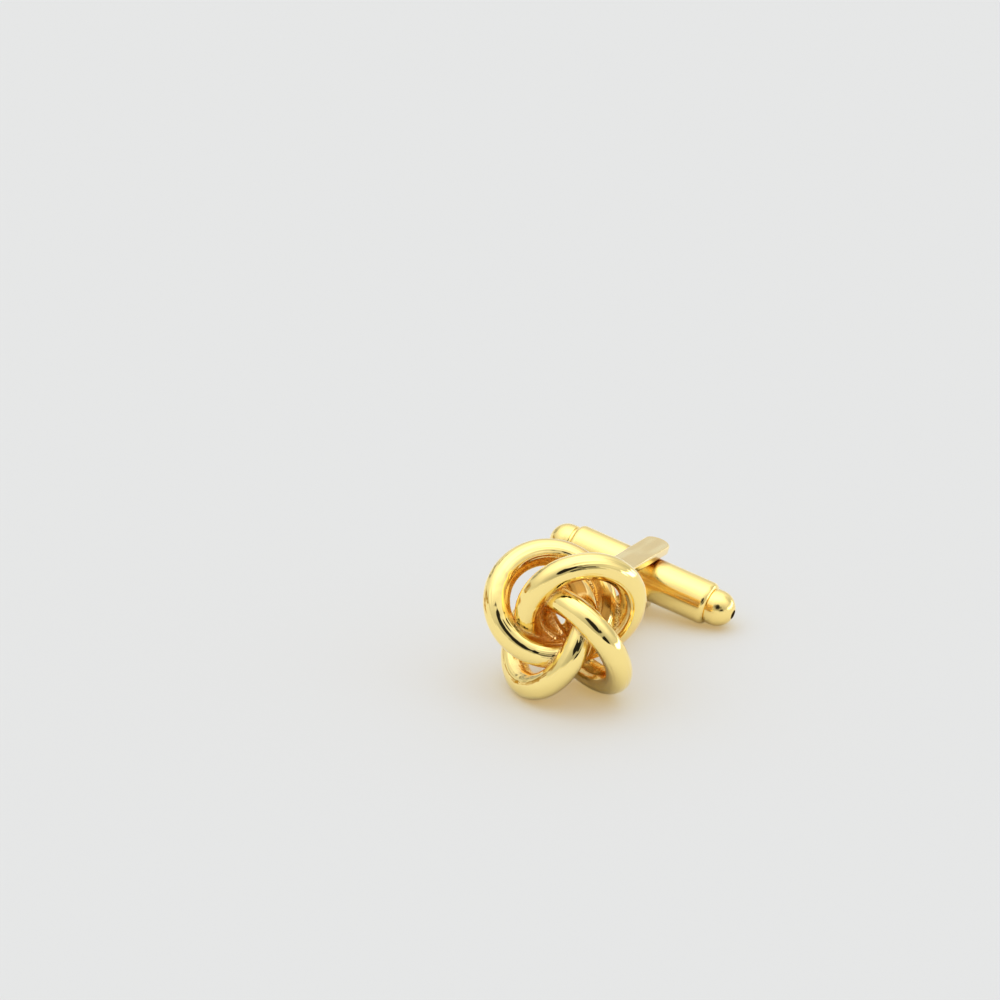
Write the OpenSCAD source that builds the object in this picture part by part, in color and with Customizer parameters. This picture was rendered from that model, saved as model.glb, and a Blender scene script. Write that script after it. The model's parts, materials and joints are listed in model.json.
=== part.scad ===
// Cufflink with a knot of four linked wire rings, a forked post and a swinging toggle, in millimetres.
// Every piece is drawn about the middle of the knot: the knot faces -Y, the post runs along +Y to the
// pivot, the toggle lies along X and the pivot stands along Z. The whole is then laid down as it rests
// on a table, on two rings and on the end of the fork's lower arm. The table is at Z = 0, and the origin
// is under the middle of the cufflink.

/* [Knot] */
// Radius of a ring, to the middle of its wire
ring_r = 5.16; // [5.06:0.02:5.26]
// Diameter of the round wire
wire_d = 2.6; // [2.4:0.1:2.8]
// Distance from the middle of the knot to the middle of a ring
ring_offset = 2.22; // [2.16:0.02:2.34]
// Angle at which each ring leans out of the knot's face, degrees
ring_lean = 44; // [42:1:46]
// Angle by which the outer side of each ring drops back from the face, degrees
ring_drop = 6.2; // [4.2:0.5:8.2]
// Turn of the knot about the post, degrees
knot_turn = 61.5; // [55:0.5:68]

/* [Fork] */
// Distance from the middle of the knot to the pivot
post_l = 19.8; // [18:0.2:22]
// Width of the strap
strap_w = 2.6; // [2.4:0.1:3]
// Thickness of the strap
strap_t = 1; // [0.9:0.05:1.1]
// Radius of the strap's long edges
strap_edge = 0.25; // [0.15:0.05:0.35]
// Clear gap between the two arms
arm_gap = 4.5; // [4.4:0.05:4.8]
// How far the round ends of the arms reach past the pivot
arm_past = 2.6; // [2.2:0.1:3]
// Outer radius of the bends at the closed end
bend_r = 1.4; // [1.3:0.05:1.6]
// Depth to which the closed end is let into the back strands of the knot
seat_depth = 0.2; // [0.1:0.05:0.3]

/* [Toggle] */
// Length of the toggle, tip to tip
toggle_l = 19.9; // [18.9:0.1:20.9]
// Diameter of the bar
bar_d = 4.25; // [4.1:0.05:4.3]
// Radius that rounds the bar's shoulders
shoulder_r = 0.6; // [0.4:0.05:0.8]
// Diameter of the rounded caps at the ends
cap_d = 3.52; // [3.4:0.02:3.6]
// Length of a cap, from its groove to its tip
cap_l = 2.2; // [2.1:0.05:2.6]
// Width of the groove between shoulder and cap
groove_w = 0.22; // [0.15:0.01:0.3]
// Depth of that groove below the cap
groove_deep = 0.13; // [0.08:0.01:0.2]
// Diameter of the small hole drilled in each tip
tip_hole_d = 0.9; // [0.7:0.05:1]
// Depth of that hole
tip_hole_deep = 1.2; // [0.8:0.1:1.6]

/* [Pivot] */
// Diameter of the pivot pin
pin_d = 1.5; // [1.3:0.1:1.7]
// How deep each end of the pin sits in its arm
pin_seat = 0.5; // [0.4:0.05:0.6]

/* [Hidden] */
$fn = 64;
rings = 4;
ring_step = 360 / rings;
// Clearance between fixed pieces, and running clearance between moving ones
seam = 0.02;
play = 0.05;
// Half of the fork's height, over the outer faces of its arms
fork_h = arm_gap / 2 + strap_t;
// The round end of each arm is drawn about this point
tip_at = post_l + arm_past - strap_w / 2;
// The back strands stand this far behind the middle of the knot
knot_back = ring_r * sqrt(1 - pow(cos(ring_lean) * cos(ring_drop), 2)) + wire_d / 2;
// The closed end of the fork meets the strands where they have curved forward by about this much
strand_fall = 0.72;
fork_front = round((knot_back - strand_fall - seat_depth) * 100) / 100;
gold = [0.95, 0.78, 0.32];
pale_gold = [0.93, 0.82, 0.5];

// Unit vector towards the middle of a ring, and the axis of that ring
function ring_angle(i) = knot_turn + ring_step * i;
function ring_dir(i) = [cos(ring_angle(i)), 0, sin(ring_angle(i))];
function ring_axis(i) = [
    sin(ring_angle(i)) * sin(ring_lean) + cos(ring_angle(i)) * cos(ring_lean) * sin(ring_drop),
    -cos(ring_lean) * cos(ring_drop),
    sin(ring_angle(i)) * cos(ring_lean) * sin(ring_drop) - cos(ring_angle(i)) * sin(ring_lean)
];

// How far each piece reaches from the middle of the knot in the direction of the unit vector u
function ring_reach(i, u) =
    ring_offset * u * ring_dir(i) + ring_r * sqrt(max(0, 1 - pow(u * ring_axis(i), 2))) + wire_d / 2;
function knot_reach(u) = max([for (i = [0:rings - 1]) ring_reach(i, u)]);
function arm_reach(u) =
    (fork_h - strap_edge) * abs(u.z) + tip_at * u.y
    + (strap_w / 2 - strap_edge) * norm([u.x, u.y]) + strap_edge;
function toggle_reach(u) = post_l * u.y + (toggle_l - cap_d) / 2 * abs(u.x) + cap_d / 2;
function reach(u) = max(knot_reach(u), arm_reach(u), toggle_reach(u));

// Turns a vector about X or Y by an angle a
function turn_x(v, a) = [v.x, v.y * cos(a) - v.z * sin(a), v.y * sin(a) + v.z * cos(a)];
function turn_y(v, a) = [v.x * cos(a) + v.z * sin(a), v.y, v.z * cos(a) - v.x * sin(a)];
// A direction given on the table, seen from the cufflink laid down with this tip and roll
function on_part(v, tip, roll) = turn_y(turn_x(v, -tip), -roll);

// Tip and roll at which the rings on either side and the arm's end all touch the table, in small steps
left_ring = 2;
right_ring = 3;
rest_steps = 40;
function rest_angles(tip, roll, steps) =
    steps == 0 ? [tip, roll] :
    let (
        down = on_part([0, 0, -1], tip, roll),
        left = ring_reach(left_ring, down),
        right = ring_reach(right_ring, down),
        to_degrees = 180 / PI
    )
    rest_angles(
        tip + (arm_reach(down) - (left + right) / 2) / tip_at * to_degrees,
        roll - (right - left) / (2 * ring_r) * to_degrees,
        steps - 1
    );
rest = rest_angles(-10, 10, rest_steps);
function rest_reach(v) = reach(on_part(v, rest[0], rest[1]));

module at_rest() {
    translate([0, (rest_reach([0, -1, 0]) - rest_reach([0, 1, 0])) / 2, rest_reach([0, 0, -1])])
        rotate([rest[0], 0, 0])
            rotate([0, rest[1], 0])
                children();
}

// The four linked rings; grow makes their wire thicker, to cut their seat out of another piece
module ring_knot(grow = 0) {
    rotate([90, 0, 0])
        for (i = [0:rings - 1])
            rotate([0, 0, ring_angle(i)])
                translate([ring_offset, 0, 0])
                    rotate([ring_lean, ring_drop, 0])
                        rotate_extrude($fn = 96)
                            translate([ring_r, 0])
                                circle(d = wire_d + 2 * grow, $fn = 32);
}

module knot() {
    color(gold) at_rest() ring_knot();
}

// Cross-section of the strap, with X across its width and its thickness along Y, from the outer face inwards
module strap_section() {
    e = strap_edge;
    translate([-strap_w / 2, e]) square([strap_w, strap_t - 2 * e]);
    translate([e - strap_w / 2, 0]) square([strap_w - 2 * e, strap_t]);
    for (x = [-1, 1], y = [e, strap_t - e])
        translate([x * (strap_w / 2 - e), y]) circle(r = e, $fn = 32);
}

// The upper half of the U: half of its closed end, the bend and the arm with its round end
module half_strap() {
    // Half of the closed end
    translate([0, fork_front, 0])
        linear_extrude(fork_h - bend_r) strap_section();
    // The bend
    translate([0, fork_front + bend_r, fork_h - bend_r])
        rotate([180, -90, 0])
            rotate_extrude(angle = 90)
                translate([bend_r, 0]) rotate([0, 0, 90]) strap_section();
    // The arm
    translate([0, tip_at, fork_h])
        rotate([90, 0, 0])
            linear_extrude(tip_at - fork_front - bend_r) mirror([0, 1]) strap_section();
    // Its round end
    translate([0, tip_at, fork_h])
        rotate_extrude(angle = 180)
            intersection() {
                mirror([0, 1]) strap_section();
                translate([0, -strap_t]) square([strap_w, strap_t]);
            }
}

module fork() {
    color(pale_gold) at_rest() difference() {
        for (side = [0, 1])
            mirror([0, 0, side]) half_strap();
        ring_knot(seam);
        // Blind seats for the ends of the pin
        translate([0, post_l, 0])
            cylinder(d = pin_d + 2 * seam, h = arm_gap + 2 * (pin_seat + seam), center = true);
    }
}

module pivot_pin() {
    color(gold) at_rest() translate([0, post_l, 0])
        cylinder(d = pin_d, h = arm_gap + 2 * pin_seat, center = true);
}

// Half of the toggle's outline: X is the radius and Y runs along the toggle, away from its middle
module toggle_outline() {
    tip = toggle_l / 2;
    cap_base = tip - cap_l;
    shoulder = cap_base - groove_w;
    square([bar_d / 2, shoulder - shoulder_r]);
    square([bar_d / 2 - shoulder_r, shoulder]);
    translate([bar_d / 2 - shoulder_r, shoulder - shoulder_r]) circle(r = shoulder_r);
    square([cap_d / 2 - groove_deep, cap_base + groove_w]);
    translate([0, cap_base]) square([cap_d / 2, cap_l - cap_d / 2]);
    intersection() {
        translate([0, tip - cap_d / 2]) circle(d = cap_d);
        translate([0, cap_base]) square([cap_d / 2, cap_l]);
    }
}

module toggle() {
    color(gold) at_rest() translate([0, post_l, 0]) difference() {
        rotate([0, 90, 0])
            rotate_extrude($fn = 96)
                for (side = [0, 1])
                    mirror([0, side]) toggle_outline();
        cylinder(d = pin_d + 2 * play, h = 2 * bar_d, center = true);
        for (side = [-1, 1])
            translate([side * toggle_l / 2, 0, 0])
                rotate([0, 90, 0])
                    cylinder(d = tip_hole_d, h = 2 * tip_hole_deep, center = true);
    }
}

knot();
fork();
pivot_pin();
toggle();
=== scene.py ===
"""Looks of one gold knot cufflink: finishes, solder, floor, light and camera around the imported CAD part."""

import json
import math

import bpy
import numpy as np
from mathutils import Matrix, Vector
from mathutils.bvhtree import BVHTree


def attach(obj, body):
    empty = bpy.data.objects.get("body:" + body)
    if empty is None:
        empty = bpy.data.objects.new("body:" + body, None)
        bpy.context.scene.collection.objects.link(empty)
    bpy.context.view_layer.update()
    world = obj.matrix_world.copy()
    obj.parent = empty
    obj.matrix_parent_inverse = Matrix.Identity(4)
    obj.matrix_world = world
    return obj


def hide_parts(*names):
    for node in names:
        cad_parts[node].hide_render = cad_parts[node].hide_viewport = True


MM = 0.001

# Sizes of the cufflink, as in its CAD source, in millimetres and degrees
RINGS = 4
RING_R = 5.16
WIRE_R = 1.3
RING_OFFSET = 2.22
RING_LEAN = 44
RING_DROP = 6.2
KNOT_TURN = 61.5
POST_L = 19.8
STRAP_W = 2.6
STRAP_T = 1.0
STRAP_EDGE = 0.25
ARM_GAP = 4.5
FORK_HALF_H = ARM_GAP / 2 + STRAP_T
# Front face of the fork's closed end, behind the middle of the knot
FORK_FRONT = 3.99
TIP_HOLE_R = 0.45

# Colours of the gold plate: red, green, blue and an alpha of 1
GOLD = (0.95, 0.76, 0.29, 1)
# The next two golds paint shade into the knot's sheltered hollows; the first is also the dull side of the mottle
# on the solder and the pin
DULL_AND_SHADED_GOLD = (0.82, 0.60, 0.24, 1)
INNERMOST_SHADE_GOLD = (0.89, 0.64, 0.27, 1)
# Painted shade on the back of the knot, which the toggle mirrors
BACK_SHADE_GOLD = (0.80, 0.54, 0.21, 1)
# Painted shade on the inner side of two rings
STRAND_SHADE_GOLD = (0.40, 0.19, 0.03, 1)
# Painted shade where the arms of the fork and the toggle face each other
GAP_SHADE_GOLD = (0.50, 0.27, 0.09, 1)
# Painted shade in the holes in the toggle's tips
HOLE_SHADE_GOLD = (0.16, 0.10, 0.04, 1)
TOGGLE_GOLD = (0.95, 0.74, 0.27, 1)
STRAP_GOLD = (0.97, 0.82, 0.44, 1)
STRAP_DULL = (0.89, 0.70, 0.33, 1)
# Tint of what the plate reflects at a glancing angle, in the open and inside the knot, where the orange tint is
# painted shade
OPEN_EDGE = (1.0, 1.0, 1.0, 1)
INSIDE_EDGE = (1.0, 0.75, 0.4, 1)

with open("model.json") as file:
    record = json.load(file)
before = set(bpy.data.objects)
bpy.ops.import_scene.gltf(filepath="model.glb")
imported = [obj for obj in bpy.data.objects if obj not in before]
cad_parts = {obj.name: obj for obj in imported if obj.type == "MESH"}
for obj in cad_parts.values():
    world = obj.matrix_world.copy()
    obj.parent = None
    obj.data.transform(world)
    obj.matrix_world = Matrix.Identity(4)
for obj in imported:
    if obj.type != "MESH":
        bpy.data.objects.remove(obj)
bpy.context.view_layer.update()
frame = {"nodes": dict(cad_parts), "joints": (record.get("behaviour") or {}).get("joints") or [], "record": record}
nodes = frame["nodes"]

# The part's own axes: along the toggle, back along the post and up along the pivot, from the knot's middle
joint = frame["joints"][0]
PIVOT = Vector(joint["pos_m"])
UP = Vector(joint["axis"]).normalized()
BACK = Vector(frame["record"]["mounts"][0]["axis"]).normalized()
ACROSS = BACK.cross(UP).normalized()
KNOT_MIDDLE = PIVOT - POST_L * MM * BACK
PART = Matrix.Translation(KNOT_MIDDLE) @ Matrix((ACROSS, BACK, UP)).transposed().to_4x4()


class Nodes:
    """Adds nodes to a tree; every argument is a socket or a plain value."""

    # A Mix node that mixes colours takes them at these inputs and gives the result at this output
    MIX_FACTOR = 0
    MIX_A = 6
    MIX_B = 7
    MIX_RESULT = 2

    def __init__(self, tree):
        self.tree = tree
        tree.nodes.clear()

    def add(self, kind, **settings):
        node = self.tree.nodes.new(kind)
        for name, value in settings.items():
            setattr(node, name, value)
        return node

    def feed(self, socket, value):
        if isinstance(value, bpy.types.NodeSocket):
            self.tree.links.new(value, socket)
        else:
            socket.default_value = value

    def place(self):
        """Place on the object, in metres."""
        return self.add("ShaderNodeTexCoord").outputs["Object"]

    def attribute(self, name):
        return self.add("ShaderNodeAttribute", attribute_name=name).outputs["Fac"]

    def math(self, operation, *values):
        node = self.add("ShaderNodeMath", operation=operation)
        for socket, value in zip(node.inputs, values):
            self.feed(socket, value)
        return node.outputs[0]

    def times(self, a, b):
        return self.math("MULTIPLY", a, b)

    def centred(self, noise, spread):
        """Noise from 0 to 1 as a value from -spread / 2 to spread / 2."""
        return self.math("MULTIPLY_ADD", noise, spread, -spread / 2)

    def vector(self, operation, *values):
        node = self.add("ShaderNodeVectorMath", operation=operation)
        for socket, value in zip(node.inputs, values):
            self.feed(socket, value)
        scalar = operation in ("DOT_PRODUCT", "LENGTH", "DISTANCE")
        return node.outputs["Value" if scalar else "Vector"]

    def smooth(self, value, low, high, to_low=0.0, to_high=1.0):
        """value runs smoothly from to_low at low to to_high at high, and stays there outside."""
        if low > high:
            low, high, to_low, to_high = high, low, to_high, to_low
        node = self.add("ShaderNodeMapRange", interpolation_type="SMOOTHSTEP")
        settings = {"Value": value, "From Min": low, "From Max": high, "To Min": to_low, "To Max": to_high}
        for name, setting in settings.items():
            self.feed(node.inputs[name], setting)
        return node.outputs["Result"]

    def combine(self, x, y, z):
        node = self.add("ShaderNodeCombineXYZ")
        for socket, value in zip(node.inputs, (x, y, z)):
            self.feed(socket, value)
        return node.outputs[0]

    def separate(self, vector):
        node = self.add("ShaderNodeSeparateXYZ")
        self.feed(node.inputs[0], vector)
        return node.outputs

    def noise(self, vector, scale=1.0, detail=0.0, roughness=0.5, w=None):
        node = self.add("ShaderNodeTexNoise", noise_dimensions="3D" if w is None else "4D")
        self.feed(node.inputs["Vector"], vector)
        if w is not None:
            self.feed(node.inputs["W"], w)
        self.feed(node.inputs["Scale"], scale)
        self.feed(node.inputs["Detail"], detail)
        self.feed(node.inputs["Roughness"], roughness)
        return node.outputs["Fac"]

    def mix(self, factor, a, b):
        node = self.add("ShaderNodeMix", data_type="RGBA")
        self.feed(node.inputs[self.MIX_FACTOR], factor)
        self.feed(node.inputs[self.MIX_A], a)
        self.feed(node.inputs[self.MIX_B], b)
        return node.outputs[self.MIX_RESULT]

    def bump(self, height, distance, normal=None):
        """Normal of a surface that stands out by height times a distance in millimetres."""
        node = self.add("ShaderNodeBump")
        self.feed(node.inputs["Height"], height)
        self.feed(node.inputs["Distance"], distance * MM)
        if normal is not None:
            self.feed(node.inputs["Normal"], normal)
        return node.outputs[0]


def new_material(name):
    material = bpy.data.materials.new(name)
    material.use_nodes = True
    return material, Nodes(material.node_tree)


def metal(name, colour, roughness, normal, edge=None):
    """A metal. Each quality is a plain value or a function that takes the tree and gives a socket."""
    material, n = new_material(name)
    shader = n.add("ShaderNodeBsdfPrincipled")
    shader.inputs["Metallic"].default_value = 1.0
    qualities = {"Base Color": colour, "Roughness": roughness, "Normal": normal, "Specular Tint": edge}
    for socket, quality in qualities.items():
        if quality is not None:
            n.feed(shader.inputs[socket], quality(n) if callable(quality) else quality)
    out = n.add("ShaderNodeOutputMaterial")
    n.feed(out.inputs["Surface"], shader.outputs[0])
    return material


def part_place(n):
    """Place in the part's own axes, in millimetres, from the pivot: along the toggle, back and up."""
    place = n.vector("SUBTRACT", n.place(), tuple(PIVOT))
    return [n.vector("DOT_PRODUCT", place, tuple(axis / MM)) for axis in (ACROSS, BACK, UP)]


# Knot: four rings as one fine mesh, with this many faces along each ring and round its wire
AROUND = 256
SECTION = 64


def ring_matrix(i):
    """From ring i's own plane to the part's axes, both in millimetres."""
    return (
        Matrix.Rotation(math.radians(90), 4, "X")
        @ Matrix.Rotation(math.radians(KNOT_TURN + 360 / RINGS * i), 4, "Z")
        @ Matrix.Translation((RING_OFFSET, 0, 0))
        @ Matrix.Rotation(math.radians(RING_DROP), 4, "Y")
        @ Matrix.Rotation(math.radians(RING_LEAN), 4, "X")
    )


# From each ring's own plane, in millimetres, to the frame, in metres
RING_TO_FRAME = [PART @ Matrix.Scale(MM, 4) @ ring_matrix(i) for i in range(RINGS)]


def new_object(name, verts, faces):
    mesh = bpy.data.meshes.new(name)
    mesh.from_pydata(verts, [], faces)
    mesh.validate()
    obj = bpy.data.objects.new(name, mesh)
    bpy.context.scene.collection.objects.link(obj)
    return obj


def ring_object(i):
    u = np.linspace(0, 2 * np.pi, AROUND, endpoint=False)
    v = np.linspace(0, 2 * np.pi, SECTION, endpoint=False)
    uu, vv = np.meshgrid(u, v, indexing="ij")
    radius = RING_R + WIRE_R * np.cos(vv)
    local = np.stack([radius * np.cos(uu), radius * np.sin(uu), WIRE_R * np.sin(vv)], -1).reshape(-1, 3)
    to_frame = np.array(RING_TO_FRAME[i])
    verts = local @ to_frame[:3, :3].T + to_frame[:3, 3]
    faces = []
    for a in range(AROUND):
        row = a * SECTION
        next_row = (a + 1) % AROUND * SECTION
        for b in range(SECTION):
            next_b = (b + 1) % SECTION
            faces.append((row + b, next_row + b, next_row + next_b, row + next_b))
    return new_object(f"ring_{i}", verts.tolist(), faces)


def ring_coordinates(points, i):
    """For points in the frame: u along ring i, v round its wire, the distance to it and its normal there."""
    from_frame = np.array(RING_TO_FRAME[i].inverted())
    p = points @ from_frame[:3, :3].T + from_frame[:3, 3]
    u = np.arctan2(p[:, 1], p[:, 0])
    out = np.hypot(p[:, 0], p[:, 1]) - RING_R
    v = np.arctan2(p[:, 2], out)
    distance = np.abs(np.hypot(out, p[:, 2]) - WIRE_R)
    normal = np.stack([np.cos(u) * np.cos(v), np.sin(u) * np.cos(v), np.sin(v)], -1)
    turn = np.array(RING_TO_FRAME[i])[:3, :3] / MM
    return u, v, distance, normal @ turn.T


def read(items, name, kind, width=1):
    """One property of all items of a mesh, as an array."""
    values = np.zeros(len(items) * width, kind)
    items.foreach_get(name, values)
    return values.reshape(-1, width) if width > 1 else values


def mark(mesh, name, domain, values):
    """Gives every vertex or face a number that the materials can read."""
    mesh.attributes.new(name, "FLOAT", domain).data.foreach_set("value", values.astype(np.float32))


def knot_piece():
    rings = [ring_object(i) for i in range(RINGS)]
    first = rings[0]
    for other in rings[1:]:
        union = first.modifiers.new("union", "BOOLEAN")
        union.operation = "UNION"
        union.solver = "EXACT"
        union.object = other
    view = bpy.context.evaluated_depsgraph_get()
    mesh = bpy.data.meshes.new_from_object(first.evaluated_get(view))
    for ring in rings:
        bpy.data.objects.remove(ring)
    obj = bpy.data.objects.new("knot_rings", mesh)
    bpy.context.scene.collection.objects.link(obj)
    shade_as_wire(mesh)
    add_shelter(mesh)
    return obj


def shade_as_wire(mesh):
    """Gives every corner its ring's exact normal there, and its place along and round the wire."""
    verts = read(mesh.vertices, "co", float, 3)
    centres = read(mesh.polygons, "center", float, 3)
    corners = read(mesh.loops, "vertex_index", int)
    face_sizes = read(mesh.polygons, "loop_total", int)
    face_of = np.repeat(np.arange(len(face_sizes)), face_sizes)
    at_centre = [ring_coordinates(centres, i) for i in range(RINGS)]
    at_vert = [ring_coordinates(verts, i) for i in range(RINGS)]
    owner = np.argmin([coordinates[2] for coordinates in at_centre], 0)
    normals = np.zeros((len(corners), 3))
    wire = np.zeros((len(corners), 2))
    for i in range(RINGS):
        mine = owner[face_of] == i
        normals[mine] = at_vert[i][3][corners[mine]]
        for k in range(2):
            # Both angles jump by a full turn somewhere, so a corner takes the turn of its face's centre
            centre = at_centre[i][k][face_of[mine]]
            value = at_vert[i][k][corners[mine]]
            wire[mine, k] = value + 2 * np.pi * np.round((centre - value) / (2 * np.pi))
    mesh.polygons.foreach_set("use_smooth", np.ones(len(face_sizes), bool))
    mesh.uv_layers.new(name="wire").data.foreach_set("uv", wire.ravel())
    mark(mesh, "ring", "FACE", owner)
    mesh.normals_split_custom_set(normals.tolist())


# Shelter: points on a ring, along it and round its wire, and the rays that leave each of them
SHELTER_AROUND = 120
SHELTER_SECTION = 32
SHELTER_RAYS = 40
# How far above the surface a ray starts and how far it looks, in millimetres
SHELTER_START = 0.02
SHELTER_REACH = 6
# How close the next ring's wire is where a join begins, in millimetres
JOIN_REACH = 0.55
GOLDEN_ANGLE = math.pi * (3 - math.sqrt(5))


def hemisphere(count):
    """Directions spread over the half sphere about +Z, denser towards +Z as light falls."""
    k = np.arange(count) + 0.5
    out = np.sqrt(k / count)
    turn = k * GOLDEN_ANGLE
    rays = np.stack([out * np.cos(turn), out * np.sin(turn), np.sqrt(1 - out**2)], -1)
    return [Vector(ray) for ray in rays]


def blockers(meshes):
    """One tree of all these meshes, to cast rays against."""
    verts = []
    faces = []
    for mesh in meshes:
        start = len(verts)
        verts += [tuple(vert.co) for vert in mesh.vertices]
        faces += [[start + k for k in face.vertices] for face in mesh.polygons]
    return BVHTree.FromPolygons(verts, faces)


def sheltered_share(tree, point, normal, rays):
    """Share of the light over a surface that is kept off by what stands within reach."""
    turn = normal.to_track_quat("Z", "X").to_matrix()
    start = point + normal * SHELTER_START * MM
    hits = 0
    for ray in rays:
        if tree.ray_cast(start, turn @ ray, SHELTER_REACH * MM)[0] is not None:
            hits += 1
    return hits / len(rays)


def shelter_grid(tree, rays, i):
    """How sheltered ring i is, on a grid along the ring and round its wire."""
    turn = RING_TO_FRAME[i].to_3x3() * (1 / MM)
    grid = np.zeros((SHELTER_AROUND, SHELTER_SECTION))
    for a in range(SHELTER_AROUND):
        u = 2 * math.pi * a / SHELTER_AROUND
        outwards = Vector((math.cos(u), math.sin(u), 0))
        for b in range(SHELTER_SECTION):
            v = 2 * math.pi * b / SHELTER_SECTION
            normal = Vector((math.cos(u) * math.cos(v), math.sin(u) * math.cos(v), math.sin(v)))
            point = RING_R * outwards + WIRE_R * normal
            grid[a, b] = sheltered_share(tree, RING_TO_FRAME[i] @ point, turn @ normal, rays)
    return grid


def between(grid, a, b):
    """Values at places a, b between the points of a grid that wraps round both ways."""
    rows, columns = grid.shape
    a0 = np.floor(a).astype(int)
    b0 = np.floor(b).astype(int)
    value = 0
    for step_a, share_a in ((0, 1 - (a - a0)), (1, a - a0)):
        for step_b, share_b in ((0, 1 - (b - b0)), (1, b - b0)):
            value = value + share_a * share_b * grid[(a0 + step_a) % rows, (b0 + step_b) % columns]
    return value


def add_shelter(mesh):
    """Marks every vertex with how sheltered it is and how close it is to the next ring's wire."""
    tree = blockers([mesh, nodes["fork"].data])
    rays = hemisphere(SHELTER_RAYS)
    verts = read(mesh.vertices, "co", float, 3)
    at_vert = [ring_coordinates(verts, i) for i in range(RINGS)]
    distance = np.stack([coordinates[2] for coordinates in at_vert])
    owner = np.argmin(distance, 0)
    shelter = np.zeros(len(verts))
    for i in range(RINGS):
        mine = owner == i
        a = at_vert[i][0][mine] / (2 * np.pi) * SHELTER_AROUND
        b = at_vert[i][1][mine] / (2 * np.pi) * SHELTER_SECTION
        shelter[mine] = between(shelter_grid(tree, rays, i), a, b)
    to_next = np.sort(distance, 0)[1]
    join = np.clip(1 - to_next / JOIN_REACH, 0, 1)
    mark(mesh, "shelter", "POINT", shelter)
    mark(mesh, "join", "POINT", join)


# How sheltered the wire is where each change starts and where it is complete. The first two paint shade into its
# colour, the third tints its glancing reflections with painted shade and sets where its lines fade and its grains
# lie, and the last two set its roughness and its file marks
SHELTER_SHADE = (0.15, 0.5)
INNERMOST_SHADE = (0.62, 0.85)
INSIDE = (0.3, 0.6)
ROUGH = (0.25, 0.6)
MARKED = (0.65, 0.85)
# Noise that makes the changes of colour uneven: scale per metre, detail, and the shelter it spreads over
BORDER_SCALE = 900.0
BORDER_DETAIL = 3.0
BORDER_SPREAD = 0.3
# The back of the knot is painted darker and redder, as shade that the toggle mirrors, from here to here, in
# millimetres back from the pivot
BACK_SHADE_RANGE = (-17.4, -16.0)
# Painted shade on the inner side of two rings: the ring, and the shade's ends along and round the wire, in degrees
SHADED_STRANDS = ((2, (-178, -155), (20, 84)), (1, (-149, -119), (64, 106)))
STRAND_SHADE_SOFT = 3
STRAND_SHADE_STRENGTH = 0.95
# The polish in the open, and the rougher plate inside the knot
WIRE_ROUGHNESS = (0.04, 0.2)


def on_ring(n, i):
    """1 on ring i and 0 on the others."""
    return n.math("COMPARE", n.attribute("ring"), float(i), 0.5)


def wire_angles(n):
    """The angle along the ring and the angle round its wire, in radians."""
    angles = n.separate(n.add("ShaderNodeUVMap", uv_map="wire").outputs[0])
    return angles[0], angles[1]


def strand_shade(n):
    """1 where shade is painted on the inner side of two rings, and 0 elsewhere."""
    angles = wire_angles(n)
    total = 0.0
    for i, *ends in SHADED_STRANDS:
        inside = on_ring(n, i)
        for angle, (start, end) in zip(angles, ends):
            rises = [math.radians(start + side * STRAND_SHADE_SOFT) for side in (-1, 1)]
            falls = [math.radians(end + side * STRAND_SHADE_SOFT) for side in (-1, 1)]
            inside = n.times(inside, n.smooth(angle, *rises))
            inside = n.times(inside, n.smooth(angle, *falls, 1, 0))
        total = n.math("ADD", inside, total)
    return total


def wire_colour(n):
    """Gold with painted shade: darker and redder where the knot shelters it, on the inner side of two rings, and
    at the back of the knot.
    """
    border = n.noise(n.place(), BORDER_SCALE, detail=BORDER_DETAIL)
    shelter = n.math("ADD", n.attribute("shelter"), n.centred(border, BORDER_SPREAD))
    colour = n.mix(n.smooth(shelter, *SHELTER_SHADE), GOLD, DULL_AND_SHADED_GOLD)
    colour = n.mix(n.smooth(shelter, *INNERMOST_SHADE), colour, INNERMOST_SHADE_GOLD)
    # Painted shade on the inner side of two rings
    colour = n.mix(n.times(strand_shade(n), STRAND_SHADE_STRENGTH), colour, STRAND_SHADE_GOLD)
    # Painted shade on the back of the knot
    return n.mix(n.smooth(part_place(n)[1], *BACK_SHADE_RANGE), colour, BACK_SHADE_GOLD)


def wire_edge(n):
    # Painted shade: the glancing reflections turn orange where the knot shelters the wire
    return n.mix(n.smooth(n.attribute("shelter"), *INSIDE), OPEN_EDGE, INSIDE_EDGE)


def wire_roughness(n):
    return n.smooth(n.attribute("shelter"), *ROUGH, *WIRE_ROUGHNESS)


# Noise on the wire: how fine it is across and along it, its scale, and the height of its bumps in millimetres
LINE_ACROSS = 6.0
LINE_ALONG = 1.6
LINE_HEIGHT = 0.06
WAVE_ALONG = 4.0
WAVE_SCALE = 1.2
WAVE_HEIGHT = 0.03
MARK_ACROSS = 1.2
MARK_ALONG = 24.0
MARK_HEIGHT = 0.1
GRAIN_SCALE = 4500.0
GRAIN_HEIGHT = 0.12
# The lines fade to a share of their height on the part of each ring where sin u is high, from here to here,
# with uneven ends, and inside the knot
LINED_ENDS = (0.62, 0.92)
LINED_LEAST = 0.2
LINED_INSIDE = 0.4
PATCH_ALONG = 2.5
PATCH_SCALE = 0.8
PATCH_SPREAD = 2.2
# The grains lie where the join is this strong
GRAINED = (0.1, 0.8)
# Keeps the noise of one ring apart from that of the next
RING_SHIFT = 7.3
# The ring that mirrors as if its wire were bent out of its circle, and how far, in millimetres
BENT_RING = 1
BENT = 0.82


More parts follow.
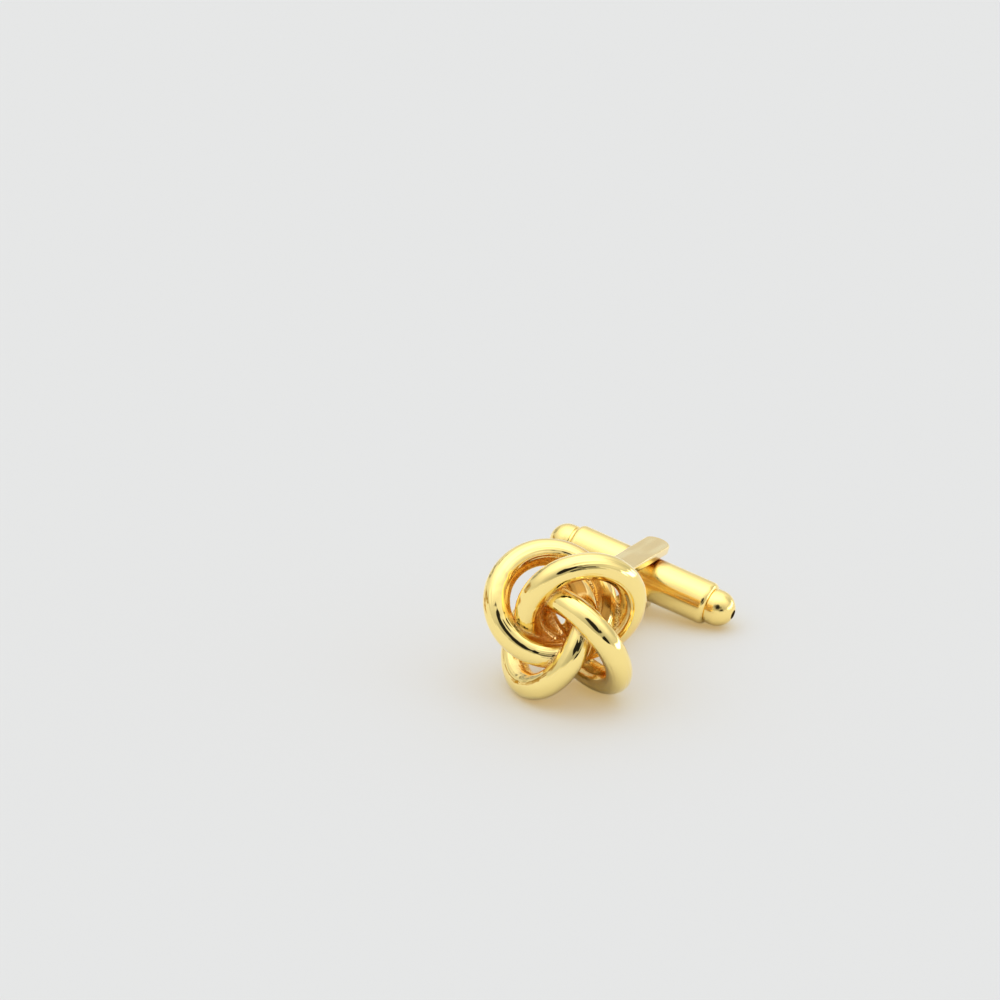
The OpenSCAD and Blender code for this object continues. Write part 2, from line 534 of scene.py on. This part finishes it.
def wire_normal(n):
    """One ring's bend, waves of the cast, lines along the wire, grains at the joins, file marks inside."""
    u, v = wire_angles(n)
    cos_u = n.math("COSINE", u)
    sin_u = n.math("SINE", u)
    cos_v = n.math("COSINE", v)
    sin_v = n.math("SINE", v)
    shift = n.times(n.attribute("ring"), RING_SHIFT)
    shelter = n.attribute("shelter")

    def along_noise(across, along, scale=1.0, detail=0.0):
        """Noise that closes without a seam along the ring and round its wire."""
        place = n.vector("MULTIPLY", n.combine(cos_v, sin_v, cos_u), (across, across, along))
        return n.noise(place, scale, detail, w=n.times(n.math("ADD", sin_u, shift), along))

    bent = n.times(cos_u, n.math("MULTIPLY_ADD", sin_u, 0.5, 0.5))
    normal = n.bump(n.times(bent, on_ring(n, BENT_RING)), BENT)
    waves = along_noise(1.0, WAVE_ALONG, WAVE_SCALE, detail=1.0)
    normal = n.bump(waves, WAVE_HEIGHT, normal)

    patches = along_noise(1.0, PATCH_ALONG, PATCH_SCALE)
    uneven = n.math("ADD", sin_u, n.centred(patches, PATCH_SPREAD))
    lined = n.smooth(uneven, *LINED_ENDS, 1.0, LINED_LEAST)
    lined = n.times(lined, n.smooth(shelter, *INSIDE, 1.0, LINED_INSIDE))
    lines = along_noise(LINE_ACROSS, LINE_ALONG)
    normal = n.bump(n.times(lines, lined), LINE_HEIGHT, normal)

    grained = n.times(n.smooth(n.attribute("join"), *GRAINED), n.smooth(shelter, *INSIDE))
    grains = n.noise(n.place(), GRAIN_SCALE, detail=3.0, roughness=0.6)
    normal = n.bump(n.times(grains, grained), GRAIN_HEIGHT, normal)

    place = n.vector("MULTIPLY", n.combine(cos_u, sin_u, cos_v), (MARK_ALONG, MARK_ALONG, MARK_ACROSS))
    marks = n.noise(place, w=n.math("MULTIPLY_ADD", sin_v, MARK_ACROSS, shift))
    return n.bump(n.times(marks, n.smooth(shelter, *MARKED)), MARK_HEIGHT, normal)


# Solder that runs into the corners between the rings and round the closed end of the fork: the box that is
# searched for it and the search step, in the part's axes and millimetres
SOLDER_LOW = (-4.6, -1.6, -4.6)
SOLDER_HIGH = (4.6, 5.8, 4.6)
SOLDER_STEP = 0.11
# How far the solder lies under the wire where it isn't needed
SOLDER_SUNK = 0.02
# It starts in front of the knot's middle and is at its fullest after this depth
SOLDER_FROM = -1.2
SOLDER_DEPTH = 2.4
# How far it reaches into a corner in front, and how much further behind
SOLDER_REACH = 0.12
SOLDER_MORE_REACH = 0.5
# Where it ends, as a share of its reach, how steeply, and the height of its ripples
SOLDER_END = 0.6
SOLDER_FADE = 2.2
SOLDER_RIPPLE = 0.035
# Rounds in which the mesh's points settle onto the surface, and the share of the way they go in each
SETTLE_ROUNDS = 4
SETTLE_SHARE = 0.7
# The least steepness that this divides by, and the step in millimetres over which a slope is measured
LEAST_STEEPNESS = 1e-3
SLOPE_STEP = 0.01


def closest_two(p):
    """Distances from points, in the part's axes and millimetres, to the nearest and next nearest solid."""
    distances = []
    for i in range(RINGS):
        m = np.array(ring_matrix(i).inverted())
        q = p @ m[:3, :3].T + m[:3, 3]
        distances.append(np.hypot(np.hypot(q[:, 0], q[:, 1]) - RING_R, q[:, 2]) - WIRE_R)
    middle = np.array((0, FORK_FRONT + STRAP_T / 2, 0))
    half = np.array((STRAP_W / 2, STRAP_T / 2, FORK_HALF_H)) - STRAP_EDGE
    q = np.abs(p - middle) - half
    outside = np.linalg.norm(np.maximum(q, 0), axis=1)
    distances.append(outside + np.minimum(q.max(1), 0) - STRAP_EDGE)
    ordered = np.sort(np.stack(distances), 0)
    return ordered[0], ordered[1]


def ripple(p):
    """A small uneven wave, from -1 to 1, made of sines of different lengths that bend one another."""
    x, y, z = p.T
    wave = np.sin(9 * x + 4 * np.sin(5 * y)) * np.sin(11 * y + 3 * np.sin(7 * z))
    cross = np.sin(13 * z + 5 * np.sin(6 * x))
    fine = np.sin(23 * x + 3 * np.sin(17 * z)) * np.sin(27 * y + 2 * np.sin(19 * x))
    return (wave + cross + fine) / 3


def solder_field(p):
    """Below zero inside the solder."""
    first, second = closest_two(p)
    back = np.clip((p[:, 1] - SOLDER_FROM) / SOLDER_DEPTH, 0, 1)
    reach = SOLDER_REACH + SOLDER_MORE_REACH * back
    blended = first - np.maximum(reach - (second - first), 0) ** 2 / (4 * reach)
    fade = SOLDER_FADE * np.maximum(second - SOLDER_END * reach, 0)
    return blended + SOLDER_SUNK + fade - SOLDER_RIPPLE * back * ripple(p)


def field_slope(field, p):
    slopes = [(field(p + SLOPE_STEP * e) - field(p - SLOPE_STEP * e)) / (2 * SLOPE_STEP) for e in np.eye(3)]
    return np.stack(slopes, -1)


def edge_crossings(value, grid, axis):
    """Which edges of the grid along an axis the surface crosses, and where."""
    near = [slice(None)] * 3
    far = [slice(None)] * 3
    near[axis] = slice(None, -1)
    far[axis] = slice(1, None)
    near = tuple(near)
    far = tuple(far)
    crosses = (value[near] < 0) != (value[far] < 0)
    with np.errstate(divide="ignore", invalid="ignore"):
        share = np.where(crosses, value[near] / (value[near] - value[far]), 0)
    return crosses, grid[near] + share[..., None] * (grid[far] - grid[near])


def cell_points(crossings, cells):
    """Which cells the surface passes through, and for each the mean of its crossings."""
    total = np.zeros((*cells, 3))
    count = np.zeros(cells)
    for axis, (crosses, at) in enumerate(crossings):
        first, second = [k for k in range(3) if k != axis]
        for step_1 in (0, 1):
            for step_2 in (0, 1):
                pick = [slice(None)] * 3
                pick[first] = slice(step_1, step_1 + cells[first])
                pick[second] = slice(step_2, step_2 + cells[second])
                here = tuple(pick)
                total += np.where(crosses[here][..., None], at[here], 0)
                count += crosses[here]
    used = count > 0
    return used, total[used] / count[used][:, None]


def cell_faces(crossings, inside, used):
    """One quad for each crossing, between the points of the four cells round it."""
    index = np.full(used.shape, -1)
    index[used] = np.arange(used.sum())
    faces = []
    for axis, (crosses, _) in enumerate(crossings):
        a = (axis + 1) % 3
        b = (axis + 2) % 3
        for edge in np.argwhere(crosses):
            if edge[a] == 0 or edge[b] == 0 or edge[a] >= used.shape[a] or edge[b] >= used.shape[b]:
                continue
            corners = []
            for step_a, step_b in ((0, 0), (-1, 0), (-1, -1), (0, -1)):
                cell = edge.copy()
                cell[a] += step_a
                cell[b] += step_b
                corners.append(int(index[tuple(cell)]))
            faces.append(corners if inside[tuple(edge)] else corners[::-1])
    return faces


def field_surface(field, low, high, step):
    """Closed quad mesh of the surface where the field is zero, and its normals."""
    axes = [np.arange(start, end, step) for start, end in zip(low, high)]
    grid = np.stack(np.meshgrid(*axes, indexing="ij"), -1)
    value = field(grid.reshape(-1, 3)).reshape(grid.shape[:3])
    crossings = [edge_crossings(value, grid, axis) for axis in range(3)]
    used, verts = cell_points(crossings, tuple(size - 1 for size in value.shape))
    faces = cell_faces(crossings, value < 0, used)
    for _ in range(SETTLE_ROUNDS):
        slope = field_slope(field, verts)
        steepness = np.maximum((slope**2).sum(1), LEAST_STEEPNESS)
        verts -= SETTLE_SHARE * (field(verts) / steepness)[:, None] * slope
    slope = field_slope(field, verts)
    return verts, faces, slope / np.linalg.norm(slope, axis=1)[:, None]


def solder_piece():
    verts, faces, normals = field_surface(solder_field, SOLDER_LOW, SOLDER_HIGH, SOLDER_STEP)
    to_frame = np.array(PART)
    verts = verts * MM @ to_frame[:3, :3].T + to_frame[:3, 3]
    obj = new_object("solder", verts.tolist(), faces)
    obj.data.polygons.foreach_set("use_smooth", np.ones(len(faces), bool))
    obj.data.normals_split_custom_set_from_vertices((normals @ to_frame[:3, :3].T).tolist())
    return obj


# Solder's finish: the scale of its grains per metre, and their height in millimetres
SOLDER_ROUGHNESS = 0.18
SOLDER_GRAIN_SCALE = 5500.0
SOLDER_GRAIN_HEIGHT = 0.1
# Mottled gold of the solder and the pin: its scale per metre, and where the solder turns from dull to bright
MOTTLE_SCALE = 1500.0
MOTTLE_RANGE = (0.35, 0.7)


def mottle(n):
    return n.noise(n.place(), MOTTLE_SCALE, detail=2.0)


def solder_normal(n):
    return n.bump(n.noise(n.place(), SOLDER_GRAIN_SCALE, detail=1.5, roughness=0.6), SOLDER_GRAIN_HEIGHT)


def solder_colour(n):
    return n.mix(n.smooth(mottle(n), *MOTTLE_RANGE), DULL_AND_SHADED_GOLD, GOLD)


solder = solder_piece()
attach(solder, "knot_body")
solder.data.materials.append(metal("solder_finish", solder_colour, SOLDER_ROUGHNESS, solder_normal))

knot = knot_piece()
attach(knot, "knot_body")
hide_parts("knot")
knot.data.materials.clear()
knot.data.materials.append(metal("knot_finish", wire_colour, wire_roughness, wire_normal, wire_edge))

# Fork, pin and toggle, in millimetres from the pivot: painted shade where the arms and the toggle face each other,
# round the pin and at these heights
GAP_ROUND_PIN = (1.5, 2.6)
GAP_LOW = (1.5, 2.0)
GAP_HIGH = (2.3, 2.5)
# The holes in the toggle's tips are painted dark, as shade, from here outwards, with a soft rim this wide
TIP_HOLE_FROM = 8.6
TIP_HOLE_RIM = 0.03
TOGGLE_ROUGHNESS = 0.14
STRAP_ROUGHNESS = 0.18
PIN_ROUGHNESS = 0.15
# How much rougher the holes are than the rest of the toggle
HOLE_ROUGHER = 0.5
# Turned lines on the toggle and the pin: how many in a millimetre, and their height
TURNED_SCALE = 14.0
TURNED_HEIGHT = 0.005
# Waves of the toggle's polish: how fine along it, their scale and their height
POLISH_ALONG = 0.5
POLISH_SCALE = 0.7
POLISH_HEIGHT = 0.04
# Lengthwise lines, waves and tones of the rolled strap: how fine across and along it, scale and height
ROLLED_ACROSS = 16.0
ROLLED_ALONG = 0.6
ROLLED_HEIGHT = 0.008
STRAP_WAVE_ALONG = 0.5
STRAP_WAVE_SCALE = 0.6
STRAP_WAVE_HEIGHT = 0.06
TONE_ACROSS = 0.9
TONE_ALONG = 0.2
TONE_RANGE = (0.38, 0.62)


def in_gap_shade(n):
    """1 where shade is painted between the arms of the fork and the toggle, and 0 elsewhere."""
    x, y, z = part_place(n)
    off_pin = n.vector("LENGTH", n.combine(x, y, 0.0))
    height = n.math("ABSOLUTE", z)
    level = n.times(n.smooth(height, *GAP_LOW), n.smooth(height, *GAP_HIGH, 1, 0))
    return n.times(n.smooth(off_pin, *GAP_ROUND_PIN, 1, 0), level)


def strap_colour(n):
    place = n.vector("MULTIPLY", n.combine(*part_place(n)), (TONE_ACROSS, TONE_ALONG, 1.0))
    tones = n.noise(place, detail=0.5)
    gold = n.mix(n.smooth(tones, *TONE_RANGE), STRAP_GOLD, STRAP_DULL)
    # Painted shade where the arms face the toggle
    return n.mix(in_gap_shade(n), gold, GAP_SHADE_GOLD)


def strap_normal(n):
    """Lines of the rolled strap, lengthwise, over soft waves."""
    place = n.combine(*part_place(n))
    lines = n.noise(n.vector("MULTIPLY", place, (ROLLED_ACROSS, ROLLED_ALONG, ROLLED_ACROSS)), detail=3.0)
    waves = n.noise(n.vector("MULTIPLY", place, (1.0, STRAP_WAVE_ALONG, 1.0)), STRAP_WAVE_SCALE, detail=1.0)
    return n.bump(lines, ROLLED_HEIGHT, n.bump(waves, STRAP_WAVE_HEIGHT))


def pin_colour(n):
    return n.mix(mottle(n), GOLD, DULL_AND_SHADED_GOLD)


def pin_normal(n):
    """Fine turned lines round the pin."""
    height = n.times(part_place(n)[2], TURNED_SCALE)
    return n.bump(n.noise(n.combine(0.0, 0.0, height), detail=3.0), TURNED_HEIGHT)


def off_toggle_axis(n, y, z):
    return n.vector("LENGTH", n.combine(0.0, y, z))


def in_tip_hole(n):
    """1 in the small holes in the toggle's tips, and 0 elsewhere."""
    x, y, z = part_place(n)
    inside = n.smooth(off_toggle_axis(n, y, z), TIP_HOLE_R, TIP_HOLE_R + TIP_HOLE_RIM, 1, 0)
    return n.times(inside, n.math("GREATER_THAN", n.math("ABSOLUTE", x), TIP_HOLE_FROM))


def toggle_colour(n):
    # Painted shade where the arms face the toggle
    outside = n.mix(in_gap_shade(n), TOGGLE_GOLD, GAP_SHADE_GOLD)
    # Painted shade in the holes in the toggle's tips
    return n.mix(in_tip_hole(n), outside, HOLE_SHADE_GOLD)


def toggle_roughness(n):
    return n.math("MULTIPLY_ADD", in_tip_hole(n), HOLE_ROUGHER, TOGGLE_ROUGHNESS)


def toggle_normal(n):
    """Fine turned lines round the bar, and a faint unevenness of the polish."""
    x, y, z = part_place(n)
    place = n.combine(n.times(x, TURNED_SCALE), n.times(off_toggle_axis(n, y, z), TURNED_SCALE), 0.0)
    turned = n.noise(place, detail=3.0)
    waves = n.noise(n.combine(n.times(x, POLISH_ALONG), y, z), POLISH_SCALE, detail=1.0)
    return n.bump(turned, TURNED_HEIGHT, n.bump(waves, POLISH_HEIGHT))


for name, slot, material in (
    ("fork", "strap_gold", metal("strap_finish", strap_colour, STRAP_ROUGHNESS, strap_normal)),
    ("pivot_pin", "pin_gold", metal("pin_finish", pin_colour, PIN_ROUGHNESS, pin_normal)),
    ("toggle", "toggle_gold", metal("toggle_finish", toggle_colour, toggle_roughness, toggle_normal)),
):
    nodes[name].data.materials.clear()
    nodes[name].data.materials.append(material)

# Floor, in metres, with one colour where it lights the object, and another where the camera sees it, with a warm
# glow
# of its own: painted light that lifts and warms the shadows the camera sees on the floor
FLOOR_SIZE = 4.0
FLOOR_LIT = (0.80, 0.80, 0.80, 1)
FLOOR_SEEN = (0.28, 0.425, 0.58, 1)
FLOOR_PAINTED_GLOW = (0.45, 0.28, 0.09, 1)
# A warm patch on the left that only the gold mirrors, put on the floor as a painted reflection of the second
# cufflink: its middle, and where its soft border starts and ends
WARM_PATCH = (0.5, 0.30, 0.10, 1)
WARM_PATCH_MIDDLE = (-0.050, -0.006, 0)
WARM_PATCH_BORDER = (0.014, 0.024)


def floor_finish():
    material, n = new_material("floor_finish")
    off_patch = n.vector("DISTANCE", n.place(), WARM_PATCH_MIDDLE)
    lit = n.add("ShaderNodeBsdfDiffuse")
    # The warm patch is a painted reflection of the second cufflink
    n.feed(lit.inputs["Color"], n.mix(n.smooth(off_patch, *WARM_PATCH_BORDER, 1, 0), FLOOR_LIT, WARM_PATCH))
    seen = n.add("ShaderNodeBsdfDiffuse")
    n.feed(seen.inputs["Color"], FLOOR_SEEN)
    # Painted light: a warm glow that lifts the shadows the camera sees on the floor
    painted_glow = n.add("ShaderNodeEmission")
    n.feed(painted_glow.inputs["Color"], FLOOR_PAINTED_GLOW)
    both = n.add("ShaderNodeAddShader")
    n.feed(both.inputs[0], seen.outputs[0])
    n.feed(both.inputs[1], painted_glow.outputs[0])
    choice = n.add("ShaderNodeMixShader")
    n.feed(choice.inputs[0], n.add("ShaderNodeLightPath").outputs["Is Camera Ray"])
    n.feed(choice.inputs[1], lit.outputs[0])
    n.feed(choice.inputs[2], both.outputs[0])
    out = n.add("ShaderNodeOutputMaterial")
    n.feed(out.inputs["Surface"], choice.outputs[0])
    return material


half = FLOOR_SIZE / 2
floor_corners = [(-half, -half, 0), (half, -half, 0), (half, half, 0), (-half, half, 0)]
floor = new_object("floor", floor_corners, [(0, 1, 2, 3)])
floor.data.materials.append(floor_finish())

# Studio sky. Its brightness at the horizon, what it gains towards the top, and a haze over the lowest part,
# between these heights on a unit sphere
SKY_LOW = 0.72
SKY_GAIN = 1.25
HAZE = 0.92
HAZE_RANGE = (0.02, 0.13)
# Directions are azimuth and elevation, in degrees. The sky is a little dimmer about this one: the share of
# its light that is left there, and how far off, in degrees, the dimming ends and is complete
SOFT_MIDDLE = (30, 25)
SOFT_SHARE = 0.68
SOFT_ENDS = (62, 12)
# Bands of the sky: where each starts and ends, its half width and its soft edge, and how much light it takes
# or adds. The dark bands share one soft edge, and flecks of noise break up the dim patch and the warm band
DARK_BANDS = (((3, 35), (39, 22), 19.5), ((33, -7), (57, 9), 11), ((37, 20), (52, 29), 2.5))
DARK_SOFT = 1.2
DARK_LOSS = 0.97
WALL = ((147, 50), (136, 14), 14, 8)
WALL_LOSS = 0.27
DIM_PATCH = ((-134, 14), (-104, 16), 12, 3)
DIM_FLECKS = (0.44, 0.54)
DIM_LOSS = 0.6
STRIP_LIGHT = ((92, 4), (152, 4), 5, 2)
STRIP_GAIN = 2.6
WARM_BAND = ((-100, 3), (-64, 3), 8, 2)
WARM_FLECKS = (0.45, 0.6)
WARM_LEAST = 0.6
WARM_SKY = (0.56, 0.34, 0.08, 1)
WHITE_SKY = (1, 1, 1, 1)
FLECK_SCALE = 12.0


def sine(degrees):
    return math.sin(math.radians(degrees))


def cosine(degrees):
    return math.cos(math.radians(max(degrees, 0)))


def direction(azimuth, elevation):
    """Unit vector; azimuth 0 is -Y and 90 is +X."""
    a = math.radians(azimuth)
    e = math.radians(elevation)
    return Vector((math.sin(a) * math.cos(e), -math.cos(a) * math.cos(e), math.sin(e)))


def band(n, towards, start, end, half_width, soft):
    """1 inside a band of sky from start to end, and 0 outside."""
    start = direction(*start)
    end = direction(*end)
    side = start.cross(end).normalized()
    middle = (start + end).normalized()
    reach = math.degrees(middle.angle(end))
    across = n.math("ABSOLUTE", n.vector("DOT_PRODUCT", towards, tuple(side)))
    along = n.vector("DOT_PRODUCT", towards, tuple(middle))
    return n.times(
        n.smooth(across, sine(half_width - soft), sine(half_width + soft), 1, 0),
        n.smooth(along, cosine(reach + soft), cosine(reach - soft)),
    )


def dimmed(n, sky, where, loss):
    return n.times(sky, n.math("MULTIPLY_ADD", where, -loss, 1.0))


def sky_brightness(n, towards, flecks):
    height = n.separate(towards)[2]
    rise = n.math("POWER", n.math("MAXIMUM", height, 0.0), 2.0)
    sky = n.math("MULTIPLY_ADD", rise, SKY_GAIN, SKY_LOW)
    nearness = n.vector("DOT_PRODUCT", towards, tuple(direction(*SOFT_MIDDLE)))
    sky = n.times(sky, n.smooth(nearness, *(cosine(end) for end in SOFT_ENDS), 1, SOFT_SHARE))
    haze = n.smooth(height, *HAZE_RANGE, 1, 0)
    sky = n.math("ADD", n.times(haze, HAZE), n.times(sky, n.math("SUBTRACT", 1.0, haze)))
    sky = dimmed(n, sky, band(n, towards, *WALL), WALL_LOSS)
    dark = 0.0
    for dark_band in DARK_BANDS:
        dark = n.math("MAXIMUM", band(n, towards, *dark_band, DARK_SOFT), dark)
    sky = dimmed(n, sky, dark, DARK_LOSS)
    dim = n.times(band(n, towards, *DIM_PATCH), n.smooth(flecks, *DIM_FLECKS))
    sky = dimmed(n, sky, dim, DIM_LOSS)
    return n.math("MULTIPLY_ADD", band(n, towards, *STRIP_LIGHT), STRIP_GAIN, sky)


def studio_sky():
    world = bpy.data.worlds.new("studio")
    world.use_nodes = True
    n = Nodes(world.node_tree)
    towards = n.add("ShaderNodeTexCoord").outputs["Generated"]
    flecks = n.noise(towards, FLECK_SCALE, detail=1.0)
    warm = n.times(band(n, towards, *WARM_BAND), n.smooth(flecks, *WARM_FLECKS, 1.0, WARM_LEAST))
    background = n.add("ShaderNodeBackground")
    n.feed(background.inputs["Color"], n.mix(warm, WHITE_SKY, WARM_SKY))
    n.feed(background.inputs["Strength"], sky_brightness(n, towards, flecks))
    out = n.add("ShaderNodeOutputWorld")
    n.feed(out.inputs["Surface"], background.outputs[0])
    return world


bpy.context.scene.world = studio_sky()

# Camera: the point it looks at, written in millimetres, its right and its up, its distance and how far it
# sees, in metres, and its lens and sensor, in millimetres
CAMERA_TARGET = Vector((-7.904, -6.328, 17.585)) * MM
CAMERA_RIGHT = Vector((0.91939, 0.39258, 0.02466))
CAMERA_UP = Vector((-0.19283, 0.39517, 0.89814))
CAMERA_DISTANCE = 1.5
CAMERA_LENS = 567.0
CAMERA_SENSOR = 36
CAMERA_SEES = 100
# The gold mirrors itself many times inside the knot
BOUNCES = 16

camera_data = bpy.data.cameras.new("camera")
camera_data.sensor_width = CAMERA_SENSOR
camera_data.sensor_fit = "HORIZONTAL"
camera_data.lens = CAMERA_LENS
camera_data.clip_end = CAMERA_SEES
camera = bpy.data.objects.new("camera", camera_data)
bpy.context.scene.collection.objects.link(camera)
right = CAMERA_RIGHT.normalized()
backwards = right.cross(CAMERA_UP).normalized()
up = backwards.cross(right)
camera.matrix_world = (
    Matrix.Translation(CAMERA_TARGET + CAMERA_DISTANCE * backwards)
    @ Matrix((right, up, backwards)).transposed().to_4x4()
)
bpy.context.scene.camera = camera
bpy.context.scene.view_settings.view_transform = "Standard"
bpy.context.scene.cycles.max_bounces = BOUNCES
bpy.context.scene.cycles.glossy_bounces = BOUNCES
